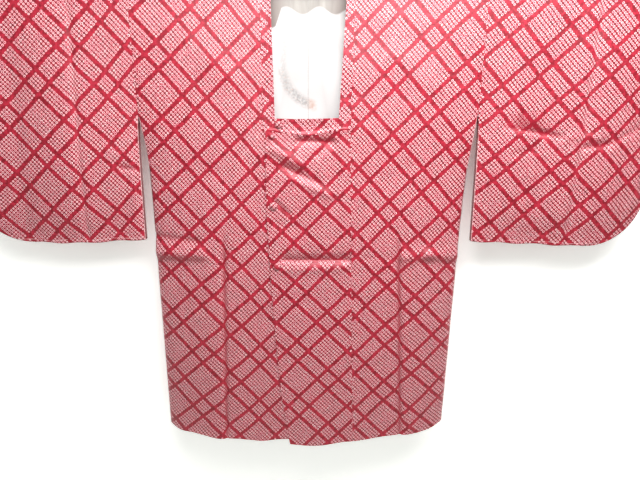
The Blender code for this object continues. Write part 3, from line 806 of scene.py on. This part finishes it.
def sleeve(side):
    """A bag of one length folded over the rod: open at the cuff and beside the body below the armhole."""
    shell = Shell("sleeve_" + SIDE_NAMES[side])
    corner_drop = SLEEVE_DROP - SLEEVE_CORNER
    armhole = ARMHOLE[side]
    upper = steps(ROLL, armhole)
    cuff_row = len(upper)
    levels = [(drop, SLEEVE_WIDTH) for drop in upper + steps(CUFF + CUFF_STEP, corner_drop)]
    for share in shares(1 / ROUND_ROWS)[1:]:
        turn = pi / 2 * share
        width = SLEEVE_WIDTH - SLEEVE_CORNER * (1 - cos(turn))
        levels.append((corner_drop + SLEEVE_CORNER * sin(turn), width))
    wide = shares(STEP_ACROSS / SLEEVE_WIDTH)

    def wave(across, drop):
        height = 0.0
        for wave_side, place, half, depth in SLEEVE_WAVES:
            if wave_side == side:
                height += depth * bell(across - place, half)
        held = soft(across / WAVE_INNER) * soft((SLEEVE_WIDTH - across) / WAVE_OUTER)
        return height * held * soft((drop - WAVE_START) / WAVE_LENGTH)

    def place(share, drop, width, back):
        shift = BACK_SHIFT * soft((drop - CUFF) / SHIFT_LENGTH) if back else 0.0
        below = max(drop - armhole, 0.0) / (SLEEVE_DROP - armhole)
        inner = SEAM / 2 - shift + SLEEVE_LEAN * sqrt(below)
        across = between(inner, width, share)
        lowered = soft((drop - RISE_START) / (SLEEVE_DROP - RISE_START))
        level = drop - SLEEVE_RISE * (1 - share) ** 2 * lowered
        level += SLEEVE_WAVE * sin(share * SLEEVE_WAVE_TURN) * lowered
        narrowing = (SLEEVE_GAP - SLEEVE_GAP_LOW) * soft((drop - SLEEVE_OPEN) / SLEEVE_OPEN)
        gap = read(SIDES, min(drop, SLEEVE_OPEN), SIDE_GAP) - narrowing
        faded = soft((drop - PUFF_FADE) / (SLEEVE_DROP - PUFF_FADE))
        puff = SLEEVE_PUFF * sin(pi * share) * soft(drop / PUFF_FULL) * (1 - faded)
        x = side * (SHOULDER_HALF + across)
        cloth = 2 * ROLL - 2 * QUARTER - level if back else level
        held = max(min(1.0, (width - across) / RIPPLE_EDGE, across / RIPPLE_EDGE), RIPPLE_LEAST)
        out = gap + puff + relief(shell.name, x, cloth) * soft((drop - ROLL) / RIPPLE_EDGE) * held
        where = Vector((x, (out if back else -out) - wave(across, level), SHOULDER - level))
        side_edge = CENTIMETRES * (across - inner) if drop > armhole else FAR
        low_edge = CENTIMETRES * (SLEEVE_DROP - drop)
        return shell.point(where, places(shell.name, x, cloth, side_edge, low_edge))

    def rim_point(ahead, behind, out):
        """Halfway between the two layers at their joined edge, and a little outward."""
        middle = (shell.points[ahead[0]] + shell.points[behind[0]]) / 2
        return shell.point(middle + Vector(out), ahead[1])

    front = [[place(share, drop, width, False) for share in wide] for drop, width in levels]
    back = [[place(share, drop, width, True) for share in wide] for drop, width in levels]
    flip = side > 0
    shell.grid(front, flip)
    shell.grid(back, not flip)

    top = [shell.points[corner[0]].x for corner in front[0]]
    roll = [front[0]]
    for share in shares(1 / ROLL_ROWS)[1:-1]:
        run = between(-QUARTER, QUARTER, share)
        roll.append([shell.point(drape(x, run), places(shell.name, x, cloth_drop(run))) for x in top])
    shell.grid(roll + [back[0]], not flip)

    ahead, behind = [row[-1] for row in front[cuff_row:]], [row[-1] for row in back[cuff_row:]]
    outer = [rim_point(*pair, (side * EDGE_BULGE, 0.0, 0.0)) for pair in zip(ahead, behind)]
    shell.grid([ahead, outer], not flip)
    shell.grid([outer, behind], not flip)
    bottom = [rim_point(*pair, (0.0, 0.0, -EDGE_BULGE)) for pair in zip(front[-1][:-1], back[-1][:-1])]
    bottom.append(outer[-1])
    shell.grid([front[-1], bottom], flip)
    shell.grid([bottom, back[-1]], flip)
    return shell


def lining(side):
    """The white lining of the back, where it shows through the neck."""
    shell = Shell("lining_" + SIDE_NAMES[side])
    lift = -(CLOTH / 2 + SEAM + LINING / 2)
    rows = []
    for drop in steps(LINING_TOP, LINING_END):
        run = run_of(drop)
        line = []
        for share in shares(STEP / LINING_HALF):
            x = side * (LINING_SEAM + LINING_HALF * share)
            slack = SLACK * noise.noise(Vector((x / SLACK_ACROSS, drop / SLACK_DOWN, 2.0)))
            slack *= soft(share / SLACK_HELD)
            pressed = min(relief("body_" + SIDE_NAMES[side], x, cloth_drop(run)), 0.0)
            line.append(shell.point(drape(x, run, lift - abs(slack) + pressed), plain_places(x, drop)))
        rows.append(line)
    shell.grid(rows, side < 0)
    return shell


def button(number, x, drop, radius, spot_p, spot_q):
    """A covered button: a dome whose cover is drawn in small pleats towards its foot."""
    shell = Shell(f"button_{number}")
    lift = lap_lift(1, x, drop) + CLOTH / 2 + SEAM + (COLLAR_PIPING if drop < COLLAR_DROP else 0.0)
    run = -run_of(drop)
    seat = drape(x, run, lift)
    along = drape(x, run - SEAT_STEP, lift) - drape(x, run + SEAT_STEP, lift)
    sideways = drape(x + SEAT_STEP, run, lift) - drape(x - SEAT_STEP, run, lift)
    normal = along.cross(sideways).normalized()
    if normal.y > 0:
        normal.negate()
    turn = normal.to_track_quat("Z", "X").to_matrix()
    rim = BUTTON_RIM * BUTTON_HEIGHT
    rows = []
    for ring in range(BUTTON_RINGS + 1):
        angle = BUTTON_TURN * ring / BUTTON_RINGS
        past = max(angle - pi / 2, 0.0)
        out = radius * sin(min(angle, pi / 2)) * (1 - BUTTON_TUCK * past)
        if angle < pi / 2:
            high = rim + (BUTTON_HEIGHT - rim) * cos(angle) ** 2
        else:
            high = rim * (1 - past / (BUTTON_TURN - pi / 2))
        line = []
        for step in range(BUTTON_SIDES + 1):
            around = 2 * pi * (step % BUTTON_SIDES) / BUTTON_SIDES
            pleat = PLEAT_DEPTH * sin(PLEATS * around + PLEAT_DRIFT * sin(PLEAT_DRIFTS * around))
            pleat *= soft((ring - PLEAT_START) / PLEAT_GROWTH)
            right, up = cos(around), sin(around)
            reach = BUTTON_SPREAD * radius * angle
            place = plain_places(spot_p + reach * (right - up), spot_q + reach * (right + up))
            if step == BUTTON_SIDES or (ring == 0 and step > 0):
                line.append((line[0][0], place))
            else:
                local = Vector(((out + pleat) * right, (out + pleat) * up, high + pleat))
                line.append(shell.point(seat + turn @ local, place))
        rows.append(line)
    shell.grid(rows)
    return shell


def rgb(red, green, blue):
    """A colour of the screen, 0 to 255, as linear light."""
    parts = []
    for value in (red / 255, green / 255, blue / 255):
        parts.append(value / 12.92 if value <= 0.04045 else ((value + 0.055) / 1.055) ** 2.4)
    return (*parts, 1.0)


class Wire:
    """What one node of a material hands to the next; sums with it add the nodes that work them out."""

    def __init__(self, paper, socket):
        self.paper = paper
        self.socket = socket

    def __add__(self, other):
        return self.paper.math("ADD", self, other)

    def __sub__(self, other):
        return self.paper.math("SUBTRACT", self, other)

    def __rsub__(self, other):
        return self.paper.math("SUBTRACT", other, self)

    def __mul__(self, other):
        return self.paper.math("MULTIPLY", self, other)

    def __truediv__(self, other):
        return self.paper.math("DIVIDE", self, other)

    def __pow__(self, other):
        return self.paper.math("POWER", self, other)

    def __abs__(self):
        return self.paper.math("ABSOLUTE", self)


class Paper:
    """A material in the making, whose nodes are added by short calls."""

    def __init__(self, name):
        self.material = bpy.data.materials.new(name)
        self.material.use_nodes = True
        self.nodes = self.material.node_tree.nodes
        self.links = self.material.node_tree.links

    def give(self, socket, value):
        if isinstance(value, Wire):
            self.links.new(value.socket, socket)
        else:
            socket.default_value = value

    def add(self, kind, given, output=0, **settings):
        """Output of a new node, from what its sockets are given by name or number, and from its settings."""
        node = self.nodes.new("ShaderNode" + kind)
        for name, value in settings.items():
            setattr(node, name, value)
        for socket, value in given.items():
            self.give(node.inputs[socket], value)
        return Wire(self, node.outputs[output])

    def math(self, operation, *values):
        return self.add("Math", dict(enumerate(values)), operation=operation)

    def ramp(self, value, low, high, start=0.0, end=1.0):
        """start below low, end above high, straight between."""
        return self.add("MapRange", dict(enumerate((value, low, high, start, end))))

    def mix(self, share, first, second):
        return self.add("Mix", {0: share, 6: first, 7: second}, 2, data_type="RGBA")

    def noise(self, vector, scale, detail=2.0, rough=0.5):
        return self.add("TexNoise", {"Vector": vector, "Scale": scale, "Detail": detail, "Roughness": rough})

    def place(self):
        return self.add("TexCoord", {}, "Object")

    def stretched(self, vector, scale):
        return self.add("VectorMath", {0: vector, 1: scale}, operation="MULTIPLY")

    def split(self, vector):
        parts = self.nodes.new("ShaderNodeSeparateXYZ")
        self.give(parts.inputs[0], vector)
        return [Wire(self, socket) for socket in parts.outputs]

    def carried(self, layer):
        """The pair of numbers that the faces' corners carry under a name."""
        return self.split(self.add("UVMap", {}, uv_map=layer))[:2]

    def open_share(self, reach, samples):
        """How open a place lies to the room, 0 to 1, with what is within a reach of it."""
        return self.add("AmbientOcclusion", {"Distance": reach}, "AO", samples=samples)

    def bump(self, height, distance):
        return self.add("Bump", {"Strength": 1.0, "Distance": distance, "Height": height})

    def finish(self, **values):
        shader = self.nodes["Principled BSDF"]
        for name, value in values.items():
            self.give(shader.inputs[name.replace("_", " ").title().replace("Ior", "IOR")], value)
        return self.material


def face_silk():
    """Red figured silk: plain satin lines on the bias, and blocks of small pale rings in rows between."""
    paper = Paper("face_silk_cloth")
    along, across = paper.carried("pattern")
    shade, side_edge = paper.carried("shade")
    hem_edge = paper.carried("hem")[0]
    where = paper.place()
    wobble = (paper.noise(where, WOBBLE_SCALE, 3.0) - 0.5) * WOBBLE

    def bands(value, pitch, phase):
        """Along one diagonal: distance off the plain lines, place within a ring, and the ring's number."""
        near = paper.math("FLOOR", value + 0.5)
        far = paper.math("FLOOR", value) + 0.5
        from_near = value - near
        reach = abs(from_near)
        big = paper.math("LESS_THAN", reach, LINE_PLACE)
        rings_far = (value - far) / pitch + phase
        rings = rings_far + (from_near / pitch - rings_far) * big
        number = paper.math("FLOOR", rings)
        centre = far + (near - far) * big
        return abs(reach - LINE_PLACE), rings - number - 0.5, number + centre * RING_LABELS

    off_p, in_p, label_p = bands(along + wobble, RING_ALONG, 0.5)
    off_q, in_q, label_q = bands(across - wobble, RING_ACROSS, 0.0)
    cell = paper.add("CombineXYZ", {0: label_p, 1: label_q})
    luck = paper.add("TexWhiteNoise", {"Vector": cell}, "Value", noise_dimensions="3D")

    # Rounded squares: distance from the ring's centre, 1 at its rim
    wide = (abs(in_p) / RING_HALF_ALONG) ** RING_SQUARE
    high = (abs(in_q) / RING_HALF_ACROSS) ** RING_SQUARE
    ring = (wide + high) ** (1 / RING_SQUARE) * paper.ramp(luck, 0.0, 1.0, *RING_SIZES)
    off = paper.math("MINIMUM", off_p, off_q)
    block = paper.ramp(off, LINE_HALF - LINE_SOFT, LINE_HALF + LINE_SOFT)
    disc = paper.ramp(ring, *RIM_END, 1.0, 0.0) * block
    rim = paper.ramp(ring, *HEART_END) * disc

    crepe = paper.noise(where, 150.0, 4.0, 0.75)
    crepe_share = paper.ramp(crepe, 0.40, 0.60)
    line_red = paper.mix(crepe_share, rgb(120, 6, 24), rgb(176, 32, 54))
    gap_red = paper.mix(crepe_share, rgb(108, 0, 20), rgb(156, 12, 38))
    ground = paper.mix(paper.ramp(off, LINE_HALF, LINE_HALF + LINE_TURN), line_red, gap_red)
    heart = paper.mix(luck, rgb(120, 4, 22), rgb(186, 56, 74))
    pale = paper.mix(luck, rgb(224, 136, 148), rgb(252, 196, 200))
    pale = paper.mix(paper.ramp(paper.noise(where, 560.0, 1.0), 0.52, 0.68), pale, rgb(255, 236, 234))
    colour = paper.mix(disc, ground, paper.mix(rim, heart, pale))
    # Painted shade: a deep red mixed in where the cloth faces down from a crease or lies deep in a narrow
    # fold
    colour = paper.mix(shade * FOLD_SHADE, colour, rgb(150, 10, 36))

    # Painted highlight along the finished side edges, and in a thin broken line above the sleeves' lower
    # edge
    edge_highlight = paper.ramp(side_edge, EDGE_HIGHLIGHT / 2, EDGE_HIGHLIGHT, 0.45, 0.0)
    edge_highlight *= paper.ramp(paper.noise(where, 40.0), 0.35, 0.60, 0.3, 1.0)
    # Painted highlight line above a sleeve's lower edge
    pressed = paper.ramp(abs(hem_edge - HEM_HIGHLIGHT), *HEM_HIGHLIGHT_HALF, 0.65, 0.0)
    pressed *= paper.ramp(paper.noise(where, 60.0), 0.40, 0.55)
    colour = paper.mix(paper.math("MAXIMUM", edge_highlight, pressed), colour, rgb(246, 206, 206))

    return paper.finish(
        base_color=colour,
        roughness=paper.ramp(disc, 0.0, 1.0, 0.36, 0.50),
        specular_tint=rgb(255, 220, 224),
        specular_ior_level=0.74,
        normal=paper.bump(disc + crepe * 1.6 + paper.noise(where, 900.0, 2.0, 0.6) * 0.6, 0.00045),
    )


def lining_silk():
    """White silk with a faint brushed arc, painted light near the collar, and a painted shadow with a
    scalloped edge below the neck seam.
    """
    paper = Paper("lining_silk_cloth")
    where = paper.place()
    spot = paper.split(where)
    across, drop = spot[0], SHOULDER - spot[2]
    white = paper.mix(paper.noise(where, 14.0), rgb(192, 188, 187), rgb(184, 180, 178))

    # Painted light near the collar, which keeps some light off the cloth: at both sides, and above its front
    rim = paper.ramp(abs(across), 0.043, 0.064, 0.0, 0.7) * paper.ramp(drop, 0.05, 0.08)
    left_painted_light = paper.ramp(across, 0.026, 0.056, 0.0, 0.95) * paper.ramp(drop, 0.07, 0.15)
    rim = paper.math("MAXIMUM", rim, left_painted_light)
    rim = paper.math("MAXIMUM", rim, paper.ramp(drop, 0.170, 0.225, 0.0, 0.35))
    white = paper.mix(rim, white, rgb(234, 231, 230))

    # The brushed arc: a quarter of a ring, broken up by streaks
    flat = paper.add("CombineXYZ", {0: across, 1: drop})
    apart = paper.add("VectorMath", {0: flat, 1: (*ARC_PLACE, 0.0)}, "Value", operation="DISTANCE")
    arc = paper.ramp(abs(apart - ARC_RADIUS), ARC_HALF / 3, ARC_HALF, 1.0, 0.0)
    arc *= paper.ramp(across, 0.018, 0.008)
    arc *= paper.ramp(paper.noise(where, 260.0, 4.0, 0.7), 0.30, 0.60)
    arc *= paper.ramp(drop, 0.07, 0.20, 0.05, 1.0)
    streaks = paper.noise(paper.stretched(where, (1.0, 1.0, 2.5)), 190.0)
    warm = paper.math("MAXIMUM", paper.ramp(across, -0.004, 0.003), paper.ramp(streaks, 0.56, 0.66))
    tone = paper.mix(warm, rgb(122, 120, 119), rgb(176, 136, 116))
    white = paper.mix(arc * ARC_STRENGTH, white, tone)

    # Painted shadow under the neck seam, with a scalloped edge, darker towards both sides
    edge = paper.math("COSINE", (across + SCALLOP_SHIFT) * SCALLOP_TURN) * SCALLOP + SCALLOP_DROP
    edge += paper.ramp(across, -0.047, -0.058, 0.0, 0.023)
    hung = paper.noise(paper.stretched(where, (1.0, 1.0, 0.15)), 110.0)
    painted_shadow_grey = paper.mix(hung, rgb(124, 118, 113), rgb(172, 167, 161))
    painted_shadow_grey = paper.mix(paper.ramp(abs(across), 0.030, 0.060), painted_shadow_grey, rgb(132, 121, 116))
    white = paper.mix(paper.ramp(edge - drop, -0.0012, 0.0016), white, painted_shadow_grey)

    # The centre seam
    white = paper.mix(paper.ramp(abs(across), 0.0004, 0.0010, 0.35, 0.0), white, rgb(134, 132, 129))
    return paper.finish(base_color=white, roughness=0.45, sheen_weight=0.2, normal=woven(paper, where))


def woven(paper, where):
    """Fine weave of the white silk."""
    return paper.bump(paper.noise(paper.stretched(where, (1.0, 1.0, 3.0)), 160.0), 0.00012)


def inside_silk():
    """White lining inside the coat, with painted shade: it darkens to a red brown where the cloth lies close
    before it.
    """
    paper = Paper("lining_silk_inside")
    where = paper.place()
    white = paper.mix(paper.noise(where, 14.0), rgb(196, 190, 188), rgb(188, 182, 180))
    # Painted shade: red brown where little of the room is open to the place
    tone = paper.mix(paper.ramp(paper.open_share(INSIDE_REACH, 8), 0.35, 0.85), rgb(130, 44, 50), white)
    return paper.finish(base_color=tone, roughness=0.55, normal=woven(paper, where))


def wood():
    paper = Paper("rod_wood_turned")
    where = paper.stretched(paper.place(), (0.06, 1.0, 1.0))
    grain = paper.noise(where, 420.0, 4.0, 0.6)
    tone = paper.mix(paper.ramp(grain, 0.35, 0.7), rgb(176, 124, 78), rgb(205, 158, 108))
    tone = paper.mix(paper.noise(where, 90.0) * 0.4, tone, rgb(150, 98, 58))
    return paper.finish(base_color=tone, roughness=0.42, normal=paper.bump(grain, 0.0001))


def steel():
    paper = Paper("hook_steel_drawn")
    drawn = paper.noise(paper.place(), 900.0)
    rough = paper.ramp(drawn, 0.0, 1.0, 0.22, 0.34)
    normal = paper.bump(drawn, 0.00002)
    return paper.finish(base_color=rgb(196, 196, 198), metallic=1.0, roughness=rough, normal=normal)


def backdrop():
    """White wall that glows with painted light standing in for the room's light on it, with painted shade
    where the coat stands close before it, and clear from its back.
    """
    paper = Paper("studio_backdrop")
    share = paper.open_share(BACKDROP_REACH, 16)
    return paper.finish(
        base_color=rgb(250, 249, 247),
        roughness=0.9,
        emission_color=rgb(246, 253, 248),
        # Painted light: the wall glows, less where the coat stands close before it
        emission_strength=paper.ramp(share, 0.0, 1.0, BACKDROP_GLOW - BACKDROP_SHADE, BACKDROP_GLOW),
        alpha=1.0 - paper.add("NewGeometry", {}, "Backfacing"),
    )


SILK = face_silk()
WHITE = lining_silk()
INSIDE = inside_silk()
WOOD = wood()
STEEL = steel()
FLOOR = Paper("studio_white").finish(base_color=rgb(206, 204, 200), roughness=0.9)

made = []
for half in (-1, 1):
    made += [body_half(half), front_lap(half), sleeve(half)]
made.append(collar())
cloths = [(shell, SILK, INSIDE, CLOTH, "face_silk") for shell in made]
cloths += [(lining(half), WHITE, WHITE, LINING, "lining_silk") for half in (-1, 1)]
for shell, outside, inside, wall, slot in cloths:
    thing = shell.make(outside, inside, wall)
    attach(thing, "root")
    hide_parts(shell.name)
for index, row in enumerate(BUTTONS, start=1):
    shell = button(index, *row)
    thing = shell.make(SILK, SILK, CLOTH)
    thing.modifiers.clear()
    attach(thing, "root")
    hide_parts(shell.name)

for node, material, slot in (("hanger_rod", WOOD, "rod_wood"), ("hanger_hook", STEEL, "hook_steel")):
    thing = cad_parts[node]
    thing.data.materials.clear()
    thing.data.materials.append(material)


def board(name, place, turn, material):
    """A square of the studio around the coat."""
    mesh = bpy.data.meshes.new(name)
    side = BOARD_SIZE / 2
    corners = [(-side, -side, 0), (side, -side, 0), (side, side, 0), (-side, side, 0)]
    mesh.from_pydata(corners, [], [(0, 1, 2, 3)])
    mesh.materials.append(material)
    thing = put(name, mesh)
    thing.location = place
    thing.rotation_euler = turn


def lights():
    """One soft lamp above the viewer, and the room's even light."""
    data = bpy.data.lights.new("key", "AREA")
    data.shape = "RECTANGLE"
    data.size, data.size_y = LAMP_SIZE
    data.energy = LAMP_POWER
    thing = put("key", data)
    thing.location = LAMP_PLACE
    thing.rotation_euler = (Vector(LAMP_AIM) - Vector(LAMP_PLACE)).to_track_quat("-Z", "Y").to_euler()
    world = bpy.data.worlds.new("studio")
    bpy.context.scene.world = world
    world.use_nodes = True
    room = world.node_tree.nodes["Background"].inputs
    room["Color"].default_value = (1.0, 1.0, 1.0, 1.0)
    room["Strength"].default_value = ROOM_LIGHT


def camera():
    """The photo's view."""
    data = bpy.data.cameras.new("photo_view")
    data.sensor_width = SENSOR
    data.lens = LENS
    thing = put("photo_view", data)
    pitch, roll = radians(CAMERA_PITCH), radians(CAMERA_ROLL)
    right = Vector((1.0, 0.0, 0.0))
    back = Vector((0.0, -cos(pitch), sin(pitch)))
    up = back.cross(right)
    turned = Matrix((right * cos(roll) - up * sin(roll), right * sin(roll) + up * cos(roll), back))
    thing.matrix_world = Matrix.Translation(CAMERA_PLACE) @ turned.transposed().to_4x4()
    bpy.context.scene.camera = thing


board("wall", WALL_PLACE, (pi / 2, 0.0, 0.0), backdrop())
board("floor", FLOOR_PLACE, (0.0, 0.0, 0.0), FLOOR)
lights()
camera()
bpy.context.scene.view_settings.view_transform = "Standard"
